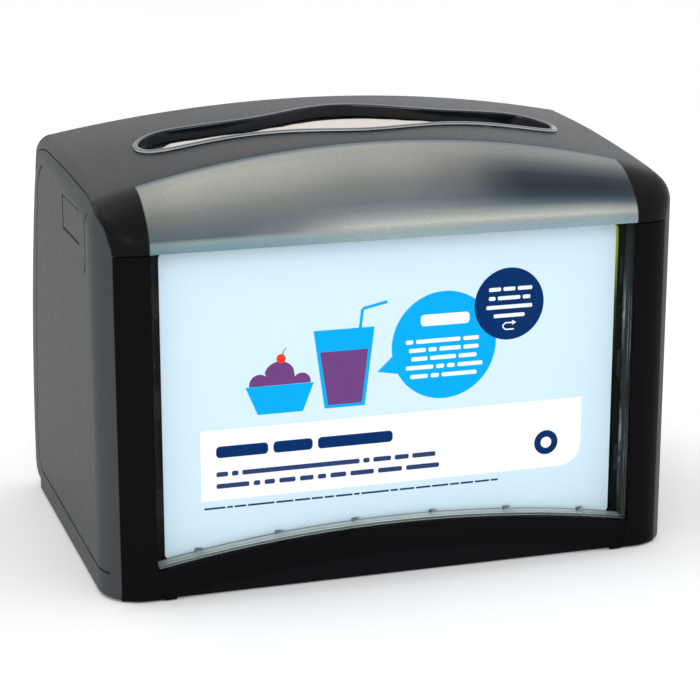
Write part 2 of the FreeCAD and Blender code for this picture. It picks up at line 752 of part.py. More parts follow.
def crown_height(x, y):
    line = Part.makeLine(V(x, y, 100.0), V(x, y, 260.0))
    return crown_face(0.0).distToShape(line)[1][0][0].z


# Hinges


def barrel(x0, x1, radius):
    return Part.makeCylinder(radius, x1 - x0, V(x0, HINGE_Y, HINGE_Z), V(1, 0, 0))


def hinge_leaf(proud, outer, z_range, spans, link_z, bore):
    """A leaf that hugs the rear face and carries knuckles on the hinge axis."""
    x0, x1 = HINGE_X - LEAF_HALF, HINGE_X + LEAF_HALF
    leaf = proud.cut(outer).common(box(x0, x1, 150.0, FAR, *z_range))
    link_y = HINGE_Y - HINGE_R - 3
    for a, b in spans:
        leaf = leaf.fuse(box(a, b, link_y, HINGE_Y, *link_z).cut(outer))
        leaf = leaf.fuse(barrel(a, b, HINGE_R))
    for a, b in spans:
        leaf = leaf.cut(barrel(a - 1, b + 1, bore))
    for x in (HINGE_X - LEAF_SCREW_X, HINGE_X + LEAF_SCREW_X):
        leaf = leaf.cut(rear_rod(x, z_range[0] + LEAF_SCREW_Z, SCREW_R + 0.1, -6.0, 6.0))
    return max(leaf.removeSplitter().Solids, key=lambda s: s.Volume)


def rear_rod(x, z, radius, start, end):
    """A cylinder square to the rear face, from one distance outside it to another."""
    y = rear_y(z)
    normal = V(0, y - REAR_CENTRE.y, z - REAR_CENTRE.z).normalize()
    return Part.makeCylinder(radius, end - start, V(x, y, z) + normal * start, normal)


def hinge_screw_places():
    return [side * HINGE_X + step for side in (-1, 1) for step in (-LEAF_SCREW_X, LEAF_SCREW_X)]


def hinge_screws(z):
    screws = []
    for x in hinge_screw_places():
        head = rear_rod(x, z, 2.6, LEAF_T, LEAF_T + 1.2)
        screws.append(head.fuse(rear_rod(x, z, SCREW_R, -4.0, LEAF_T)).removeSplitter())
    return Part.makeCompound(screws)


def hinge_pins():
    x0, x1 = HINGE_X - LEAF_HALF, HINGE_X + LEAF_HALF
    pin = barrel(x0 - 0.8, x1 + 0.8, PIN_R)
    pin = pin.fuse(barrel(x0 - 1.6, x0 - 0.3, 2.8)).fuse(barrel(x1 + 0.3, x1 + 1.6, 2.8))
    return Part.makeCompound([pin.removeSplitter(), mirrored(pin.removeSplitter())])


def main():
    os.makedirs("parts", exist_ok=True)
    outer = envelope(0.0)
    inner = envelope(WALL)
    cover_inner = envelope(COVER_WALL)
    frame_outer = envelope(COVER_WALL + SKIN_GAP)
    frame_inner = envelope(COVER_WALL + SKIN_GAP + FRAME_WALL)
    proud = envelope(-LEAF_T)
    groove_skin = outer.cut(envelope(1.2))
    lid_zone = above_seam()
    shell = outer.cut(inner).cut(above_seam(0.45, -0.6))

    # Lid
    cover = lid_cover(outer, cover_inner, lid_zone)
    frame = lid_frame(frame_outer, frame_inner, lid_zone)
    lid_leaf_screw_z = LID_LEAF_Z[0] + LEAF_SCREW_Z
    body_leaf_screw_z = BODY_LEAF_Z[0] + LEAF_SCREW_Z
    for x in hinge_screw_places():
        hole = rear_rod(x, lid_leaf_screw_z, SCREW_R, -6.0, 1.0)
        cover = cover.cut(hole)
        frame = frame.cut(hole)
    screws = []
    for x, y in lid_screw_places():
        top = crown_height(x, y)
        shank = Part.makeCylinder(1.2, 4.6, V(x, y, top - 5.4))
        head = Part.makeCylinder(2.4, 1.2, V(x, y, top - 6.4))
        cover = cover.cut(shank)
        frame = frame.cut(Part.makeCylinder(1.4, 8.0, V(x, y, top - 7.0)))
        frame = frame.cut(Part.makeCylinder(2.5, 2.0, V(x, y, top - 6.6)))
        screws.append(head.fuse(shank).removeSplitter())
    export("lid_cover", cover)
    export("lid_frame", frame)
    export("lid_screws", Part.makeCompound(screws))
    export("slot_rim", slot_rim())
    catch = lid_catch(frame_inner)
    export("lid_catch_right", catch)
    export("lid_catch_left", mirrored(catch))
    spans_lid = [(HINGE_X - KNUCKLE_HALF, HINGE_X + KNUCKLE_HALF)]
    lid_links = (HINGE_Z, LID_LEAF_Z[0] + 2)
    leaf = hinge_leaf(proud, outer, LID_LEAF_Z, spans_lid, lid_links, PIN_R + PIN_CLEARANCE)
    export("hinge_leaves_lid", Part.makeCompound([leaf, mirrored(leaf)]))
    export("hinge_screws_lid", hinge_screws(lid_leaf_screw_z))

    # Body
    export("base_tray", base_tray())
    export("base_screws", base_screws())
    export("rubber_feet", rubber_feet())
    panel = side_panel(shell, groove_skin)
    export("side_panel_right", panel)
    export("side_panel_left", mirrored(panel))
    post = front_post(shell)
    export("front_post_right", post)
    export("front_post_left", mirrored(post))
    export("front_bottom_band", bottom_band())
    rear = rear_shell(shell)
    for x in hinge_screw_places():
        rear = rear.cut(rear_rod(x, body_leaf_screw_z, SCREW_R, -6.0, 1.0))
    export("rear_shell", rear)
    x0, x1 = HINGE_X - LEAF_HALF, HINGE_X + LEAF_HALF
    gap = KNUCKLE_HALF + FIT
    spans_body = [(x0, HINGE_X - gap), (HINGE_X + gap, x1)]
    leaf = hinge_leaf(proud, outer, BODY_LEAF_Z, spans_body, (BODY_LEAF_Z[1] - 2, HINGE_Z), PIN_R)
    export("hinge_leaves_body", Part.makeCompound([leaf, mirrored(leaf)]))
    export("hinge_screws_body", hinge_screws(body_leaf_screw_z))
    export("hinge_pins", hinge_pins())
    export("top_crossbar", top_crossbar())
    export("clear_window", clear_window())
    export("window_clips", window_clips())
    export("insert_card", insert_card(CARD_Y, 0.0, 0.0))
    export("insert_card_rear", insert_card(CARD_Y + CARD_T + 0.1, 1.6, -0.5))
    export("card_backing", card_backing())

    # Magazine
    side = magazine_side()
    export("magazine_side_right", side)
    export("magazine_side_left", mirrored(side))
    export("magazine_front", magazine_wall(MAG_FRONT - 2.0, MAG_FRONT, 176.0))
    export("magazine_rear", magazine_wall(MAG_REAR, MAG_REAR + 2.0, MAG_TOP))
    spring = pusher_spring()
    export("pusher_spring_right", spring)
    export("pusher_spring_left", mirrored(spring))

    # Pusher
    export("pusher_plate", pusher_plate())
    export("guide_shoes", guide_shoes())
    export("napkin_stack", napkin_stack())

    # Buttons
    button = release_button(envelope(WALL + FIT))
    export("release_button_right", button)
    export("release_button_left", mirrored(button))
    latch = latch_slide()
    export("latch_slide_right", latch)
    export("latch_slide_left", mirrored(latch))
    coil = button_spring()
    export("button_spring_right", coil)
    export("button_spring_left", mirrored(coil))


main()
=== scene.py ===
import json
import math

import bmesh
import bpy
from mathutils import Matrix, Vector, noise


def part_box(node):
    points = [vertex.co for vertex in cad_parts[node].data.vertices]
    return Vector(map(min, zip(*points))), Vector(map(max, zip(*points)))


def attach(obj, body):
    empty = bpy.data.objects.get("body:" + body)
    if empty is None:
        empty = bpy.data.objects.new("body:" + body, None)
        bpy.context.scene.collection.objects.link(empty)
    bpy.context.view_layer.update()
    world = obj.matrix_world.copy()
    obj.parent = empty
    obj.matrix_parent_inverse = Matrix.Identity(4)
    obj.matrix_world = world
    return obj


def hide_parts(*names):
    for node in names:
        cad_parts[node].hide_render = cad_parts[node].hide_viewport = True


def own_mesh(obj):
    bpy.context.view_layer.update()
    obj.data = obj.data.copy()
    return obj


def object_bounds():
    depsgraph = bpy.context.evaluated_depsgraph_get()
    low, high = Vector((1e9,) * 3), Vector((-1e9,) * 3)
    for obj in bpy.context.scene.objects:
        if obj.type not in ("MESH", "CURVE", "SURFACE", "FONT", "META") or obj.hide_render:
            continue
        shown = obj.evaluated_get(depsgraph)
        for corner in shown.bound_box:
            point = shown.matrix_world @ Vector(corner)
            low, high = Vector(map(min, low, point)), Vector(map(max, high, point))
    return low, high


# The look of a tabletop napkin dispenser, in metres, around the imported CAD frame. The script dresses
# every CAD node, adds the card's print, the folded napkins and round-wire springs, then lights it.

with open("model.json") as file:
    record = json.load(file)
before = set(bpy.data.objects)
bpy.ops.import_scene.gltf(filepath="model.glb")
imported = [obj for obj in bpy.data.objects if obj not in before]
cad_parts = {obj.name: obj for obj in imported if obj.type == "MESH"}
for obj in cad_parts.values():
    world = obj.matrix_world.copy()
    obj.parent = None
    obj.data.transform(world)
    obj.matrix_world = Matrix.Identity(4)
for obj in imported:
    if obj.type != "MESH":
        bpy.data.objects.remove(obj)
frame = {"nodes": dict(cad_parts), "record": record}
CAD_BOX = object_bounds()
NODES = frame["nodes"]

# Reference lines of the object, in metres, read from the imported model
FRONT_Y = CAD_BOX[0][1]
SEAM_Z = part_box("front_post_right")[1][2]
CARD_LOW, CARD_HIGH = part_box("insert_card")
STACK_LOW, STACK_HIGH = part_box("napkin_stack")
WINDOW_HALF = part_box("clear_window")[1][0] + 0.0003

# The lid's crown falls by CROWN_DROP times the square of the distance from the centre line, and is
# full once CROWN_EASE has faded out behind the front
CROWN_DROP = 0.978
CROWN_FULL = 1.08
CROWN_EASE = -83.0

# Lid front: the bands run this high above the seam; the black skin starts this far behind the front
BAND_HEIGHT = 0.045
SKIN_START = (0.0304, 0.0292)
SKIN_EDGE_LINE = (0.0318, 0.0304, 0.0268, 0.0296)
CORNER_DEPTH = (0.036, 0.026)
CORNER_ACROSS = (0.1535, 0.148)
WINDOW_BLEND = 0.0004

# The window's ledge, behind the front, and where its side arms start
LEDGE_DEPTH = (0.0034, 0.0114)
LEDGE_ARMS = (0.0022, 0.0016)
LEDGE_FADE = (0.085, 0.124)

# Slot bead: its front half gives way to its rear half between these depths
BEAD_SWITCH = (0.080, 0.086)


# ---------------------------------------------------------------- materials


def new_material(name):
    material = bpy.data.materials.new(name)
    material.use_nodes = True
    nodes = material.node_tree.nodes
    nodes.clear()
    output = nodes.new("ShaderNodeOutputMaterial")
    shader = nodes.new("ShaderNodeBsdfPrincipled")
    material.node_tree.links.new(shader.outputs[0], output.inputs[0])
    return material, shader


class Graph:
    """Short ways to add nodes to one material."""

    def __init__(self, material):
        self.tree = material.node_tree
        coordinates = self.tree.nodes.new("ShaderNodeTexCoord").outputs
        self.object_space = coordinates["Object"]
        self.normals = coordinates["Normal"]

    def link(self, source, target):
        self.tree.links.new(source, target)

    def feed(self, value, target):
        if isinstance(value, (int, float)):
            target.default_value = value
        elif isinstance(value, tuple):
            target.default_value = value if len(value) == 4 else value + (1.0,)
        else:
            self.link(value, target)

    def math(self, operation, a, b=0.0, clamp=False):
        node = self.tree.nodes.new("ShaderNodeMath")
        node.operation = operation
        node.use_clamp = clamp
        self.feed(a, node.inputs[0])
        self.feed(b, node.inputs[1])
        return node.outputs[0]

    def axes(self, vector=None):
        node = self.tree.nodes.new("ShaderNodeSeparateXYZ")
        self.link(vector or self.object_space, node.inputs[0])
        return node.outputs

    def noise(self, scale, detail=3.0, rough=0.55, stretch=(1.0, 1.0, 1.0)):
        mapping = self.tree.nodes.new("ShaderNodeMapping")
        mapping.inputs["Scale"].default_value = stretch
        self.link(self.object_space, mapping.inputs[0])
        node = self.tree.nodes.new("ShaderNodeTexNoise")
        node.inputs["Scale"].default_value = scale
        node.inputs["Detail"].default_value = detail
        node.inputs["Roughness"].default_value = rough
        self.link(mapping.outputs[0], node.inputs["Vector"])
        return node.outputs[0]

    def span(self, value, low, high, to_low=0.0, to_high=1.0, smooth=False):
        node = self.tree.nodes.new("ShaderNodeMapRange")
        node.interpolation_type = "SMOOTHSTEP" if smooth else "LINEAR"
        self.feed(value, node.inputs["Value"])
        node.inputs["From Min"].default_value = low
        node.inputs["From Max"].default_value = high
        node.inputs["To Min"].default_value = to_low
        node.inputs["To Max"].default_value = to_high
        return node.outputs[0]

    def mix(self, share, a, b):
        node = self.tree.nodes.new("ShaderNodeMix")
        node.data_type = "RGBA"
        self.feed(share, node.inputs[0])
        self.feed(a, node.inputs[6])
        self.feed(b, node.inputs[7])
        return node.outputs[2]

    def ramp(self, value, stops):
        node = self.tree.nodes.new("ShaderNodeValToRGB")
        elements = node.color_ramp.elements
        while len(elements) < len(stops):
            elements.new(0.5)
        for element, (place, colour) in zip(elements, stops):
            element.position = place
            element.color = linear(colour)
        self.feed(value, node.inputs[0])
        return node.outputs[0]

    def bump(self, height, strength, distance, normal=None):
        node = self.tree.nodes.new("ShaderNodeBump")
        node.inputs["Strength"].default_value = strength
        node.inputs["Distance"].default_value = distance
        self.link(height, node.inputs["Height"])
        if normal:
            self.link(normal, node.inputs["Normal"])
        return node.outputs[0]


def linear(colour):
    """An sRGB colour out of 255 as linear RGBA."""
    out = []
    for channel in colour:
        share = channel / 255.0
        out.append(share / 12.92 if share <= 0.04045 else ((share + 0.055) / 1.055) ** 2.4)
    return tuple(out) + (1.0,)


def scaled(base, factor):
    """A linear colour made darker or lighter."""
    return tuple(channel * factor for channel in base[:3]) + (1.0,)


def moulded(name, colour, rough, grain=1400.0, grain_depth=0.00006, vary=0.10, specular=0.4):
    """Moulded plastic or rubber: fine spark-eroded grain, faint mottling and uneven gloss."""
    material, shader = new_material(name)
    g = Graph(material)
    base = linear(colour)
    broad = g.noise(22.0, 4.0)
    fine = g.noise(grain, 2.0)
    tone = g.mix(g.span(broad, 0.3, 0.7), scaled(base, 1.0 - vary), scaled(base, 1.0 + vary))
    gloss = g.span(g.noise(190.0, 5.0), 0.3, 0.7, rough * 0.94, rough * 1.06)
    g.link(g.mix(g.span(fine, 0.35, 0.65, 0.0, 0.35), tone, base), shader.inputs["Base Color"])
    g.link(gloss, shader.inputs["Roughness"])
    g.link(g.bump(fine, 0.5, grain_depth), shader.inputs["Normal"])
    shader.inputs["Specular IOR Level"].default_value = specular
    return material


def metal(name, colour, rough, stretch):
    """Drawn or brushed metal, with streaks along one axis."""
    material, shader = new_material(name)
    g = Graph(material)
    streaks = g.noise(900.0, 4.0, 0.6, stretch)
    base = linear(colour)
    g.link(g.mix(g.span(streaks, 0.3, 0.7), scaled(base, 0.72), base), shader.inputs["Base Color"])
    g.link(g.span(streaks, 0.3, 0.7, rough * 0.8, rough * 1.3), shader.inputs["Roughness"])
    g.link(g.bump(streaks, 0.3, 0.00003), shader.inputs["Normal"])
    shader.inputs["Metallic"].default_value = 1.0
    return material


def paper(name, colour):
    """Tissue: fibres, soft cockle and almost no gloss."""
    material, shader = new_material(name)
    g = Graph(material)
    base = linear(colour)
    fibres = g.noise(700.0, 5.0, 0.7, (1.0, 2.2, 1.0))
    cockle = g.noise(35.0, 2.0)
    tone = g.mix(g.span(g.math("ADD", fibres, cockle), 0.8, 1.2), scaled(base, 0.95), base)
    g.link(tone, shader.inputs["Base Color"])
    g.link(g.bump(fibres, 0.5, 0.00008, g.bump(cockle, 0.4, 0.00048)), shader.inputs["Normal"])
    shader.inputs["Roughness"].default_value = 0.85
    shader.inputs["Specular IOR Level"].default_value = 0.2
    return material


def satin_card(g, shader):
    """The card's even, low gloss and fine tooth, under whatever colour it carries."""
    g.link(g.span(g.noise(80.0), 0.3, 0.7, 0.42, 0.52), shader.inputs["Roughness"])
    g.link(g.bump(g.noise(500.0, 4.0), 0.15, 0.00003), shader.inputs["Normal"])
    shader.inputs["Specular IOR Level"].default_value = 0.06


def printed(name, colour):
    """Flat printed ink on satin card."""
    material, shader = new_material(name)
    g = Graph(material)
    base = linear(colour)
    screen = g.noise(2600.0, 1.0)
    g.link(g.mix(g.span(screen, 0.4, 0.6), scaled(base, 0.97), base), shader.inputs["Base Color"])
    satin_card(g, shader)
    return material


def printed_with_painted_shade(name, low, high, painted_shade_ramp):
    """Printed card whose colour changes from its foot to its head: the change is painted shade over one
    ink.
    """
    material, shader = new_material(name)
    g = Graph(material)
    height = g.span(g.axes()[2], low, high)
    g.link(g.ramp(height, painted_shade_ramp), shader.inputs["Base Color"])
    satin_card(g, shader)
    return material


# Ledge colours from its front to its rear: a painted highlight at the front edge, the ledge's grey-green
# tint in between, and a painted shadow under the card at the rear
LEDGE_FOOT_PAINTED_LIGHT = [
    (0.00, (225, 235, 235)),
    (0.12, (215, 226, 226)),
    (0.20, (150, 162, 158)),
    (0.60, (196, 206, 202)),
    (0.86, (176, 186, 182)),
    (0.95, (60, 66, 66)),
    (1.00, (20, 24, 24)),
]


def clear_plastic(name, colour, face_alpha, edge_alpha, rough, ledge=False):
    """Clear moulding: almost unseen face-on, brighter edge-on; the window also has a tinted ledge with a
    painted highlight, a painted shadow and painted glints.
    """
    material, shader = new_material(name)
    g = Graph(material)
    weight = g.tree.nodes.new("ShaderNodeLayerWeight")
    weight.inputs["Blend"].default_value = 0.35
    alpha = g.span(weight.outputs["Facing"], 0.1, 1.0, face_alpha, edge_alpha)
    flow = g.noise(140.0, 4.0, 0.6, (0.25, 1.0, 1.0))
    base = linear(colour)
    tone = g.mix(g.span(flow, 0.35, 0.65), scaled(base, 0.8), base)
    if ledge:
        x, y, _ = g.axes()
        across = g.math("ABSOLUTE", x)
        depth = g.span(y, FRONT_Y + LEDGE_DEPTH[0], FRONT_Y + LEDGE_DEPTH[1])
        behind = g.span(depth, 0.0, 0.04)
        sides = g.span(across, WINDOW_HALF - LEDGE_ARMS[0], WINDOW_HALF - LEDGE_ARMS[1])
        # Ledge colour: painted highlight at its front edge and painted shadow under the card at its rear
        foot_painted_light = g.ramp(depth, LEDGE_FOOT_PAINTED_LIGHT)
        streak = g.span(g.noise(60.0, 5.0, 0.6, (0.3, 1.0, 1.0)), 0.35, 0.65, 0.78, 1.0)
        fade = g.span(across, *LEDGE_FADE, 1.0, 0.7, True)
        foot_alpha = g.math("MULTIPLY", g.math("MULTIPLY", fade, streak), 0.95)
        # Painted glints in a pale colour on the ledge's side arms, near their front and rear
        painted_glint = g.span(g.noise(34.0, 4.0, 0.7, (1.0, 1.0, 0.5)), 0.46, 0.62, 0.02, 0.75)
        edge = g.math("ADD", g.span(depth, 0.16, 0.06), g.span(depth, 0.90, 0.97), clamp=True)
        side_painted_glints = g.math("MULTIPLY", painted_glint, edge)
        tone = g.mix(behind, tone, g.mix(sides, foot_painted_light, linear((175, 188, 192))))
        own = g.mix(sides, foot_alpha, side_painted_glints)
        alpha = g.math("MAXIMUM", alpha, g.math("MULTIPLY", behind, own))
    g.link(tone, shader.inputs["Base Color"])
    g.link(alpha, shader.inputs["Alpha"])
    g.link(g.span(flow, 0.3, 0.7, rough * 0.7, rough * 1.3), shader.inputs["Roughness"])
    g.link(g.bump(flow, 0.2, 0.00005), shader.inputs["Normal"])
    return material


# Lid front's frosted window colours, from the lip at the seam up to the black skin: at the left, in the
# middle, at the right. Their light and dark bands are painted reflections and painted shade over the
# frosted plastic's own tint
LID_LEFT_PAINTED_LIGHT = [
    (0.00, (108, 140, 150)),
    (0.09, (124, 153, 161)),
    (0.125, (140, 152, 152)),
    (0.175, (86, 98, 106)),
    (0.33, (100, 108, 112)),
    (0.52, (121, 124, 120)),
    (0.71, (150, 151, 145)),
    (0.88, (168, 167, 159)),
    (0.95, (162, 162, 156)),
    (1.00, (150, 152, 148)),
]
LID_MIDDLE_PAINTED_LIGHT = [
    (0.00, (150, 168, 168)),
    (0.09, (146, 165, 168)),
    (0.125, (160, 168, 168)),
    (0.175, (186, 187, 181)),
    (0.26, (148, 154, 152)),
    (0.33, (122, 132, 134)),
    (0.42, (106, 113, 118)),
    (0.60, (118, 121, 118)),
    (0.80, (150, 150, 144)),
    (1.00, (158, 157, 151)),
]
LID_RIGHT_PAINTED_LIGHT = [
    (0.00, (140, 164, 172)),
    (0.09, (140, 162, 169)),
    (0.125, (156, 162, 160)),
    (0.175, (186, 186, 178)),
    (0.26, (142, 150, 152)),
    (0.33, (86, 98, 106)),
    (0.42, (46, 59, 69)),
    (0.55, (34, 42, 52)),
    (0.68, (48, 56, 64)),
    (0.80, (92, 98, 100)),
    (0.90, (133, 134, 131)),
    (1.00, (134, 136, 134)),
]


def smoked_cover():
    """The lid's outer moulding: smoke grey on top, black at its corners, frosted across its front with
    painted reflections and painted shade.
    """
    material, shader = new_material("smoked_cover")
    g = Graph(material)
    x, y, z = g.axes()
    across = g.math("ABSOLUTE", x)
    back = g.math("SUBTRACT", y, FRONT_Y)

    # Height as it would be on the centre line, so that the bands follow the crown
    ease = g.math("EXPONENT", g.math("MULTIPLY", back, CROWN_EASE))
    share = g.math("SUBTRACT", CROWN_FULL, g.math("MULTIPLY", ease, CROWN_FULL))
    fall = g.math("MULTIPLY", g.math("MULTIPLY", x, x), CROWN_DROP)
    drop = g.math("MULTIPLY", fall, share)
    height = g.span(g.math("ADD", z, drop), SEAM_Z, SEAM_Z + BAND_HEIGHT)

    # Painted reflections and painted shade on the frosted front, blended from left to right and darker
    # towards the window's sides
    left, middle, right = (g.ramp(height, stops) for stops in (LID_LEFT_PAINTED_LIGHT, LID_MIDDLE_PAINTED_LIGHT, LID_RIGHT_PAINTED_LIGHT))
    drift = g.math("MULTIPLY", g.math("SUBTRACT", g.noise(16.0, 2.0), 0.5), 0.06)
    place = g.math("ADD", x, drift)
    frosted_painted_light = g.mix(g.span(place, -0.085, -0.01, smooth=True), left, middle)
    frosted_painted_light = g.mix(g.span(place, 0.0, 0.078, smooth=True), frosted_painted_light, right)
    fade = g.span(across, 0.104, WINDOW_HALF, smooth=True)
    frosted_painted_light = g.mix(g.math("MULTIPLY", fade, 0.22), frosted_painted_light, linear((60, 66, 72)))
    speckle = g.noise(1500.0, 2.0, 0.7)
    frosted_painted_light = g.mix(g.span(speckle, 0.3, 0.7, 0.26, 0.0), frosted_painted_light, linear((52, 60, 68)))

    # Smoke grey top and black corners
    mottle = g.noise(420.0, 6.0, 0.65)
    smoke = g.mix(g.span(mottle, 0.3, 0.7), linear((45, 48, 51)), linear((53, 56, 58)))
    smoke = g.mix(g.span(g.noise(9.0, 3.0), 0.35, 0.65, 0.0, 0.35), smoke, linear((60, 62, 62)))
    black = g.mix(g.span(mottle, 0.3, 0.7), linear((9, 8, 8)), linear((14, 12, 12)))

    ahead = g.span(back, *SKIN_START)
    inside = g.span(across, WINDOW_HALF + WINDOW_BLEND, WINDOW_HALF - WINDOW_BLEND)
    near = g.span(back, *CORNER_DEPTH, smooth=True)
    corner = g.math("MULTIPLY", near, g.span(across, *CORNER_ACROSS))
    tone = g.mix(corner, smoke, black)
    tone = g.mix(g.math("MULTIPLY", ahead, inside), tone, frosted_painted_light)
    edge_line = g.math("MULTIPLY", g.span(back, *SKIN_EDGE_LINE[:2]), g.span(back, *SKIN_EDGE_LINE[2:]))
    tone = g.mix(g.math("MULTIPLY", edge_line, inside), tone, linear((100, 112, 122)))
    g.link(tone, shader.inputs["Base Color"])

    gloss = g.span(mottle, 0.3, 0.7, 0.30, 0.42)
    g.link(gloss, shader.inputs["Roughness"])
    g.link(g.bump(speckle, 0.35, 0.00004, g.bump(mottle, 0.25, 0.00006)), shader.inputs["Normal"])
    shader.inputs["Specular IOR Level"].default_value = 0.09
    return material


# Slot bead colours by how far the surface faces up: 0 is an upright wall, 1 is the crest of the bead. The
# pale grey stops are painted highlights along the bead
FRONT_BEAD_HIGHLIGHTS = [
    (0.00, (12, 18, 28)),
    (0.20, (186, 192, 196)),
    (0.50, (160, 166, 170)),
    (0.68, (90, 96, 101)),
    (0.86, (70, 74, 78)),
    (0.94, (120, 124, 126)),
    (1.00, (104, 108, 110)),
]
REAR_BEAD_HIGHLIGHTS = [
    (0.00, (6, 12, 22)),
    (0.45, (10, 18, 30)),
    (0.72, (20, 30, 42)),
    (0.88, (112, 118, 122)),
    (0.95, (92, 96, 99)),
    (1.00, (58, 61, 64)),
]


def glossy_rim():
    """Polished bead round the slot, thinly coated: painted highlights make it pale along the front and on
    the rear crest; navy black at the rear.
    """
    material, shader = new_material("glossy_rim")
    g = Graph(material)
    flow = g.noise(60.0, 4.0, 0.6, (0.3, 1.0, 1.0))
    upward = g.axes(g.normals)[2]
    rear = g.span(g.axes()[1], FRONT_Y + BEAD_SWITCH[0], FRONT_Y + BEAD_SWITCH[1], smooth=True)
    # Painted highlights on the bead, chosen by the surface's facing in object space
    tone = g.mix(rear, g.ramp(upward, FRONT_BEAD_HIGHLIGHTS), g.ramp(upward, REAR_BEAD_HIGHLIGHTS))
    tone = g.mix(g.span(flow, 0.35, 0.65, 0.0, 0.2), tone, linear((18, 22, 28)))
    g.link(tone, shader.inputs["Base Color"])
    g.link(g.span(flow, 0.3, 0.7, 0.10, 0.20), shader.inputs["Roughness"])
    g.link(g.bump(g.noise(300.0), 0.08, 0.00005), shader.inputs["Normal"])
    shader.inputs["Specular IOR Level"].default_value = 0.25
    shader.inputs["Coat Weight"].default_value = 0.15
    shader.inputs["Coat Roughness"].default_value = 0.05
    return material


MATERIALS = {
    "smoked_lid": smoked_cover(),
    "lid_frame": moulded("black_skin", (32, 30, 30), 0.45, specular=0.3),
    "slot_rim": glossy_rim(),
    "side_panel": moulded("panel_grey", (61, 64, 66), 0.52, grain=1700.0, vary=0.01, specular=0.14),
    "button": moulded("button_grey", (62, 64, 65), 0.52, grain=1700.0, vary=0.01, specular=0.14),
    "front_frame": moulded("frame_black", (9, 8, 10), 0.36, vary=0.10, specular=0.04),
    "base": moulded("base_black", (17, 16, 20), 0.50, vary=0.08, specular=0.04),
    "backing": moulded("backing_black", (10, 10, 11), 0.60, vary=0.15, specular=0.2),
    "clear": clear_plastic("clear_pane", (150, 156, 156), 0.0, 0.12, 0.06, ledge=True),
    "clip": clear_plastic("clear_clip", (190, 206, 212), 0.01, 0.12, 0.12),
    "card": printed("card_blue", (213, 237, 250)),
    "napkins": paper("tissue", (214, 207, 200)),
    "magazine": moulded("magazine_grey", (60, 62, 64), 0.50),
    "pusher": moulded("pusher_grey", (80, 82, 85), 0.50),
    "latch": moulded("latch_black", (28, 28, 29), 0.38),
    "hinge": moulded("hinge_black", (30, 30, 31), 0.42, specular=0.5),
    "steel": metal("zinc_steel", (196, 198, 202), 0.30, (1.0, 1.0, 0.1)),
    "spring": metal("spring_wire", (172, 174, 178), 0.26, (0.2, 0.2, 1.0)),
    "foot": moulded("foot_rubber", (26, 26, 26), 0.80, grain=900.0, grain_depth=0.0001, specular=0.2),
}

SLOT_OF = {entry["node"]: entry["material_slot"] for entry in frame["record"]["subparts"]}


def dress(obj, material):
    obj.data.materials.clear()
    obj.data.materials.append(material)


for node_name, node_object in NODES.items():
    dress(node_object, MATERIALS[SLOT_OF[node_name]])


# Rear card: one green ink with painted shade, dark at the foot and bright at the head
GREEN_PAINTED_SHADE = [
    (0.0, (9, 13, 10)),
    (0.5, (14, 24, 10)),
    (0.74, (48, 72, 14)),
    (0.9, (138, 170, 30)),
    (1.0, (156, 184, 40)),
]
dress(NODES["insert_card_rear"], printed_with_painted_shade("card_green_painted_shade", CARD_LOW[2], CARD_HIGH[2], GREEN_PAINTED_SHADE))


# ---------------------------------------------------------------- mesh helpers


def add_object(name, mesh, material, body):
    obj = bpy.data.objects.new(name, mesh)
    bpy.context.scene.collection.objects.link(obj)
    dress(obj, material)
    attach(obj, body)
    return obj


def mesh_from(name, vertices, faces, smooth=False):
    mesh = bpy.data.meshes.new(name)
    mesh.from_pydata(vertices, [], faces)
    mesh.validate()
    work = bmesh.new()
    work.from_mesh(mesh)
    bmesh.ops.recalc_face_normals(work, faces=work.faces)
    work.to_mesh(mesh)
    work.free()
    for polygon in mesh.polygons:
        polygon.use_smooth = smooth
    return mesh


# ---------------------------------------------------------------- card artwork

# Printed shapes sit on the card in layers; each is a closed sheet of ink this thick. Their outlines are
# in millimetres across the card and up from the window frame's foot line.
INK = 0.00006
CARD_FACE = CARD_LOW[1]
MM = 0.001
FOOT_LINE_Z = 0.002


def circle(cx, cz, radius, start=0.0, end=360.0, steps=64):
    """Points on a circle, anticlockwise, in card millimetres."""
    points = []
    for step in range(steps + (0 if end - start >= 360.0 else 1)):
        angle = math.radians(start + (end - start) * step / steps)
        points.append((cx + radius * math.cos(angle), cz + radius * math.sin(angle)))
    return points


def rounded(x0, x1, z0, z1, radii):
    """A rectangle with its own radius at each corner: low left, low right, top right, top left."""
    centres = ((x0, z0, 180.0), (x1, z0, 270.0), (x1, z1, 0.0), (x0, z1, 90.0))
    points = []
    for (x, z, start), radius in zip(centres, radii):
        cx = x + radius if x == x0 else x - radius
        cz = z + radius if z == z0 else z - radius
        points += circle(cx, cz, radius, start, start + 90.0, 10) if radius else [(x, z)]
    return points


def bars(words, x0, z0, height, gap):
    """Greeked text: a row of blank rounded bars in place of words."""
    out = []
    x = x0
    for width in words:
        out.append(rounded(x, x + width, z0, z0 + height, (height * 0.35,) * 4))
        x += width + gap
    return out


def stroke(points, width):
    """A band of even width along a path."""
    left, right = [], []
    for index, (x, z) in enumerate(points):
        a = Vector(points[max(index - 1, 0)])
        b = Vector(points[min(index + 1, len(points) - 1)])
        along = (b - a).normalized()
        side = Vector((-along.y, along.x)) * width / 2
        left.append((x + side.x, z + side.y))
        right.append((x - side.x, z - side.y))
    return left + right[::-1]


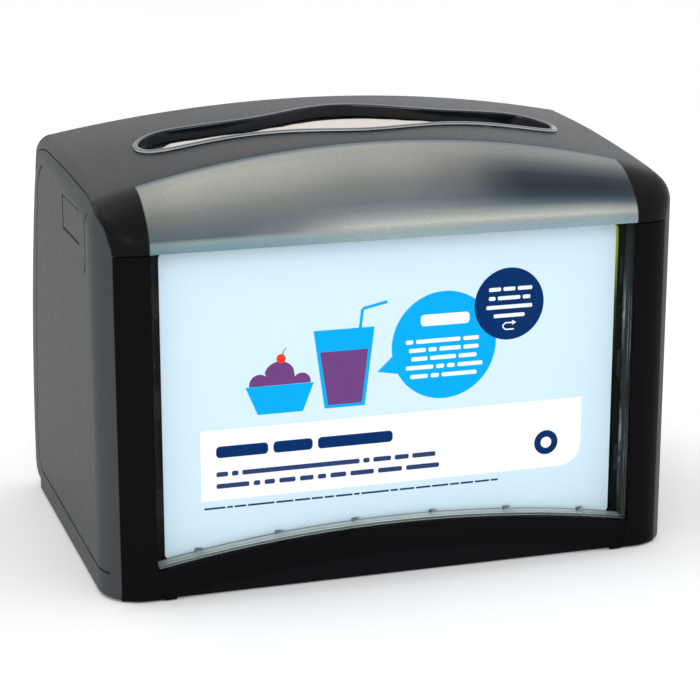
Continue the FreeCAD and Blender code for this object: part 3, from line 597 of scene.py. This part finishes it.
def ink(name, outlines, layer, colour):
    """One colour of the print: closed flat prisms standing on the card's face."""
    vertices, faces = [], []
    near = CARD_FACE - INK * layer
    far = CARD_FACE - INK * (layer - 1)
    for outline in outlines:
        base, count = len(vertices), len(outline)
        for depth in (near, far):
            vertices += [(x * MM, depth, z * MM + FOOT_LINE_Z) for x, z in outline]
        faces.append(list(range(base, base + count)))
        faces.append(list(range(base + 2 * count - 1, base + count - 1, -1)))
        for index in range(count):
            following = (index + 1) % count
            faces.append([base + index, base + count + index, base + count + following, base + following])
    mesh = mesh_from(name, vertices, faces)
    return add_object(name, mesh, printed(name + "_ink", colour), "body")


SKY = (0, 172, 240)
NAVY = (0, 46, 102)
PLUM = (112, 66, 128)

bubble_tip = (-9.0, 104.0)
bubble_arc = circle(27.0, 115.4, 28.3, -152.0, 188.0, 96)
ink("art_panel", [rounded(-101.8, 104.3, 44.0, 80.9, (0.0, 12.0, 0.0, 0.0))], 1, (253, 253, 253))
ink("art_bubble", [[bubble_tip] + bubble_arc], 1, SKY)
ink("art_disc", [circle(62.3, 134.4, 19.0, steps=80)], 2, NAVY)
ink(
    "art_cup",
    [
        [(-37.0, 87.2), (-15.6, 87.2), (-10.5, 128.0), (-42.6, 128.0)],
        [(-72.0, 87.0), (-48.4, 87.0), (-42.6, 101.6), (-78.2, 101.6)],
        stroke([(-18.1, 127.9), (-16.9, 137.2), (-15.9, 137.9), (-3.8, 140.4)], 1.5),
    ],
    2,
    SKY,
)
scoops = circle(-48.9, 102.4, 4.7, -8.0, 140.0, 20) + circle(-60.4, 105.6, 8.3, 30.0, 160.0, 30)
scoops += circle(-70.9, 102.4, 5.4, 50.0, 188.0, 20)
ink("art_scoops", [scoops], 1, PLUM)
ink("art_drink", [[(-35.2, 88.8), (-17.3, 88.8), (-13.9, 116.7), (-39.3, 116.7)]], 3, PLUM)
ink("art_cherry", [circle(-59.6, 115.2, 2.4, steps=32)], 2, (238, 62, 40))
ink("art_stem", [stroke([(-58.9, 117.3), (-58.3, 119.2), (-56.8, 120.6)], 0.5)], 3, (96, 176, 90))

# Each row of bars: widths, left end, foot, height, gap
white_words = []
for row in (
    ((26.4,), 14.2, 126.0, 6.0, 1.8),
    ((4.0, 24.0, 8.4), 6.2, 117.0, 2.1, 1.6),
    ((9.0, 4.4, 11.6, 8.2), 8.0, 112.5, 2.1, 1.5),
    ((8.6, 14.0, 9.8), 9.3, 108.0, 2.1, 1.5),
    ((14.8, 4.2, 4.2, 13.6), 6.4, 103.4, 2.1, 1.6),
    ((9.4, 4.4, 19.0), 8.8, 98.7, 2.1, 1.6),
):
    white_words += bars(*row)
ink("art_bubble_bars", white_words, 2, (246, 250, 253))

small_words = []
for row in (
    ((6.6, 6.6, 8.0), 51.0, 141.3, 2.0, 1.3),
    ((3.6, 12.4, 4.2), 51.0, 136.6, 2.0, 1.3),
    ((25.2,), 49.7, 131.9, 2.0, 1.3),
    ((17.0,), 53.8, 127.3, 2.0, 1.3),
):
    small_words += bars(*row)
arrow_path = [(65.0, 120.9), (60.4, 120.9), (59.0, 122.2), (59.0, 123.2), (60.4, 124.4), (64.2, 124.4)]
small_words.append(stroke(arrow_path, 0.7))
small_words.append([(64.0, 123.1), (66.2, 124.4), (64.0, 125.7)])
ink("art_disc_bars", small_words, 3, (240, 245, 250))

ink("art_heading_bars", bars((27.0, 20.6, 40.0), -93.8, 66.3, 6.0, 2.8), 2, NAVY)
line_words = bars((6.0, 3.4, 62.0, 3.4, 9.6, 7.6, 12.6), -93.8, 56.4, 2.5, 2.0)
line_words += bars((17.0, 3.4, 5.4, 8.6, 7.2, 4.4, 8.4, 12.6, 13.0, 18.0), -93.8, 50.2, 2.5, 2.3)
ink("art_line_bars", line_words, 2, (44, 66, 112))
note_words = bars((11, 3, 6, 14, 9, 8, 6, 5, 9, 3, 15, 4, 8, 8, 9, 5, 7, 8, 4), -100.4, 39.5, 1.0, 0.9)
ink("art_note_bars", note_words, 1, (40, 62, 108))
ink("art_mark", [circle(84.5, 57.8, 6.6, steps=48)], 2, NAVY)
ink("art_mark_dot", [circle(84.5, 57.8, 3.0, steps=36)], 3, (253, 253, 253))


# ---------------------------------------------------------------- napkins

LEAVES = 34
LEAF_FILL = 0.90
LEAF_MARGIN = 0.0012
ARCH_DROP = 0.0093
FRONT_TILT = 0.0059
HEAD_ROOM = 0.006
TOP_RAISE = 0.0042
SWELL = 0.0018
COCKLE = 0.00045
SIDE_SHIFT = 0.0007

# How far the top leaves rise into the slot's mouth, how many do, and their gap to its wall
MOUTH_LIFT = 0.0046
MOUTH_GAP = 0.0022
RISING_LEAVES = 3
RISE_FADE = 0.45
RISE_END = (0.002, 0.012)

# Middle and half-width of the slot's mouth, (across, behind the front, half-width), in metres
MOUTH = (
    (0.000, 0.0836, 0.0299),
    (0.020, 0.0835, 0.0258),
    (0.038, 0.0829, 0.0190),
    (0.052, 0.0830, 0.0153),
    (0.068, 0.0846, 0.0147),
    (0.085, 0.0866, 0.0156),
    (0.098, 0.0870, 0.0156),
    (0.104, 0.0870, 0.0140),
    (0.110, 0.0856, 0.0108),
    (0.114, 0.0860, 0.0050),
)


def crown_drop(x):
    """How far the bundle's top falls off the centre line at x."""
    half = STACK_HIGH[0]
    return ARCH_DROP * (x / half) ** 2


def mouth_at(x):
    """Middle and half-width of the slot's mouth at x."""
    across = abs(x)
    for (x0, middle0, half0), (x1, middle1, half1) in zip(MOUTH, MOUTH[1:]):
        if across <= x1:
            share = (across - x0) / (x1 - x0)
            return middle0 + (middle1 - middle0) * share, half0 + (half1 - half0) * share
    return MOUTH[-1][1], 0.0


def bulge(x, y, depth, lift):
    """The bundle swells towards the crown, and its top leaves rise into the slot's mouth."""
    swell = SWELL * math.sin(math.pi * min(max(depth, 0.0), 1.0))
    middle, half = mouth_at(x)
    half -= MOUTH_GAP
    if half <= 0.0 or lift <= 0.0:
        return swell
    reach = abs(y - FRONT_Y - middle) / half
    if reach >= 1.0:
        return swell
    ease = min(1.0, (1.0 - reach) / RISE_FADE)
    ends = min(1.0, max(0.0, (STACK_HIGH[0] - RISE_END[0] - abs(x)) / RISE_END[1]))
    return swell + MOUTH_LIFT * lift * ease * ease * (3.0 - 2.0 * ease) * ends * ends * (3.0 - 2.0 * ends)


def leaf_section(thickness, spans):
    """A folded napkin cut from front to rear: (y, height) points round its fold and its open edge."""
    y_front, y_back = STACK_LOW[1] + LEAF_MARGIN, STACK_HIGH[1] - LEAF_MARGIN
    nose = thickness / 2
    profile = []
    for step in range(9):
        angle = math.pi / 2 + math.pi * step / 8
        profile.append((y_front + nose + nose * math.cos(angle), nose + nose * math.sin(angle)))
    inner_front, slit = y_front + nose * 1.6, thickness * 0.06
    lower = [(y_back - 0.0004, 0.0), (y_back, thickness * 0.22), (y_back - 0.0003, nose - slit)]
    upper = [
        (y_back - 0.0012, nose + slit),
        (y_back - 0.0009, thickness * 0.8),
        (y_back - 0.0014, thickness),
    ]
    middle_low = [(y_front + (y_back - y_front) * s, 0.0) for s in spans]
    middle_high = [(y_front + (y_back - y_front) * s, thickness) for s in reversed(spans)]
    return profile + middle_low + lower + [(inner_front, nose)] + upper + middle_high


def folded_leaf(index):
    """One napkin, folded in two along the front, as a closed loop swept across the bundle."""
    share = index / (LEAVES - 1)
    rises = index >= LEAVES - RISING_LEAVES
    lift = max(0.0, 1.0 - 0.06 * (LEAVES - 1 - index)) if rises else 0.0
    columns, steps = (72, 40) if lift else (26, 3)
    spans = [step / steps for step in range(1, steps)]
    floor, ceiling = STACK_LOW[2], STACK_HIGH[2] - 0.0004
    pitch = (ceiling - floor - HEAD_ROOM) / LEAVES
    loop = leaf_section(pitch * LEAF_FILL, spans)
    vertices, faces = [], []
    half = STACK_HIGH[0] - LEAF_MARGIN
    for column in range(columns + 1):
        x = -half + 2 * half * column / columns
        for y, up in loop:
            depth = (y - STACK_LOW[1]) / (STACK_HIGH[1] - STACK_LOW[1])
            tilt = (depth - 1.0) * FRONT_TILT * share
            wave = noise.noise(Vector((x * 24, y * 24, index * 1.7))) * COCKLE
            base_z = floor + pitch * index + TOP_RAISE * share
            z = base_z + up * 0.96 + tilt - crown_drop(x) * share + wave * (0.35 + 0.65 * share)
            z += bulge(x, y, depth, lift) * share**3
            shift = noise.noise(Vector((index * 3.1, y * 6, 4.0))) * SIDE_SHIFT
            vertices.append((x + shift, y, max(z, floor + 0.0001)))
    ring = len(loop)
    for column in range(columns):
        for k in range(ring):
            a = column * ring + k
            b = column * ring + (k + 1) % ring
            faces.append([a, b, b + ring, a + ring])
    faces.append(list(range(ring - 1, -1, -1)))
    faces.append([columns * ring + k for k in range(ring)])
    return vertices, faces


def napkin_bundle():
    vertices, faces = [], []
    for index in range(LEAVES):
        leaf_vertices, leaf_faces = folded_leaf(index)
        base = len(vertices)
        vertices += leaf_vertices
        faces += [[base + k for k in face] for face in leaf_faces]
    mesh = mesh_from("napkin_bundle", vertices, faces, smooth=True)
    obj = add_object("napkin_bundle", mesh, MATERIALS["napkins"], "pusher")
    mesh.set_sharp_from_angle(angle=math.radians(50))
    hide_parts("napkin_stack")


napkin_bundle()


# ---------------------------------------------------------------- springs

COIL_STEPS = 28
WIRE_SIDES = 10
WIRE_FIT = 0.96


def coil(name, node, axis, turns, wire):
    """A round-wire coil with closed ends, in the place of its CAD solid."""
    low, high = (Vector(corner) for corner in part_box(node))
    centre = (low + high) / 2
    length = high[axis] - low[axis]
    others = [k for k in range(3) if k != axis]
    radius = (high[others[0]] - low[others[0]]) / 2 - wire / 2
    steps, sides = turns * COIL_STEPS, WIRE_SIDES
    vertices, faces = [], []
    for step in range(steps + 1):
        share = step / steps
        angle = 2 * math.pi * turns * share
        eased = min(max((share - 0.06) / 0.88, 0.0), 1.0)
        along = wire / 2 + (length - wire) * (0.93 * eased + 0.07 * share)
        for side in range(sides):
            turn = 2 * math.pi * side / sides
            reach = radius + wire / 2 * WIRE_FIT * math.cos(turn)
            point = centre.copy()
            point[others[0]] += reach * math.cos(angle)
            point[others[1]] += reach * math.sin(angle)
            point[axis] = low[axis] + along + wire / 2 * WIRE_FIT * math.sin(turn)
            vertices.append(point)
    for step in range(steps):
        for side in range(sides):
            a = step * sides + side
            b = step * sides + (side + 1) % sides
            faces.append([a, b, b + sides, a + sides])
    faces.append(list(range(sides - 1, -1, -1)))
    faces.append([steps * sides + side for side in range(sides)])
    mesh = mesh_from(name, vertices, faces, smooth=True)
    obj = add_object(name, mesh, MATERIALS["spring"], "body")
    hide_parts(node)
    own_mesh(obj)


for side in ("right", "left"):
    coil(f"lift_spring_{side}", f"pusher_spring_{side}", 2, 9, 0.0018)
for side, at_high in (("right", False), ("left", True)):
    coil(f"return_spring_{side}", f"button_spring_{side}", 0, 6, 0.0008)


# ---------------------------------------------------------------- stage, light and camera


FLOOR_REACH = 14
AIM = (0.0, 0.0, 0.1)
WHITE = (1.0, 1.0, 1.0)


def stage_floor():
    corners = [(FLOOR_REACH * x, FLOOR_REACH * y, 0) for x, y in ((-1, -1), (1, -1), (1, 1), (-1, 1))]
    mesh = mesh_from("floor", corners, [[0, 1, 2, 3]])
    obj = bpy.data.objects.new("floor", mesh)
    bpy.context.scene.collection.objects.link(obj)
    material, shader = new_material("floor_white")
    g = Graph(material)
    tone = g.mix(g.noise(3.0), linear((250, 250, 250)), linear((253, 253, 253)))
    g.link(tone, shader.inputs["Base Color"])
    shader.inputs["Roughness"].default_value = 0.9
    shader.inputs["Specular IOR Level"].default_value = 0.1
    dress(obj, material)


def area_light(name, place, size, power):
    light = bpy.data.lights.new(name, "AREA")
    light.shape = "RECTANGLE"
    light.size, light.size_y = size
    light.energy = power
    light.color = WHITE
    obj = bpy.data.objects.new(name, light)
    bpy.context.scene.collection.objects.link(obj)
    obj.location = place
    obj.rotation_euler = (Vector(AIM) - Vector(place)).to_track_quat("-Z", "Y").to_euler()


stage_floor()
area_light("key", (-0.7, -2.3, 1.5), (1.0, 1.0), 12.0)
area_light("fill", (1.9, -0.9, 1.3), (1.4, 1.4), 2.0)
area_light("top", (-0.6, 0.5, 2.0), (1.0, 0.6), 4.0)

world = bpy.data.worlds.new("studio")
bpy.context.scene.world = world
world.use_nodes = True
background = world.node_tree.nodes["Background"]
background.inputs["Color"].default_value = WHITE + (1.0,)
background.inputs["Strength"].default_value = 1.0
bpy.context.scene.view_settings.view_transform = "Standard"

CAMERA_LENS = 111.0
CAMERA_PLACE = (-0.3426, -1.0946, 0.4007)
CAMERA_TURN = (74.97, 0.0, -17.69)

camera_data = bpy.data.cameras.new("camera")
camera_data.lens = CAMERA_LENS
camera_data.sensor_width = 36.0
camera = bpy.data.objects.new("camera", camera_data)
bpy.context.scene.collection.objects.link(camera)
camera.location = CAMERA_PLACE
camera.rotation_euler = tuple(math.radians(angle) for angle in CAMERA_TURN)
bpy.context.scene.camera = camera
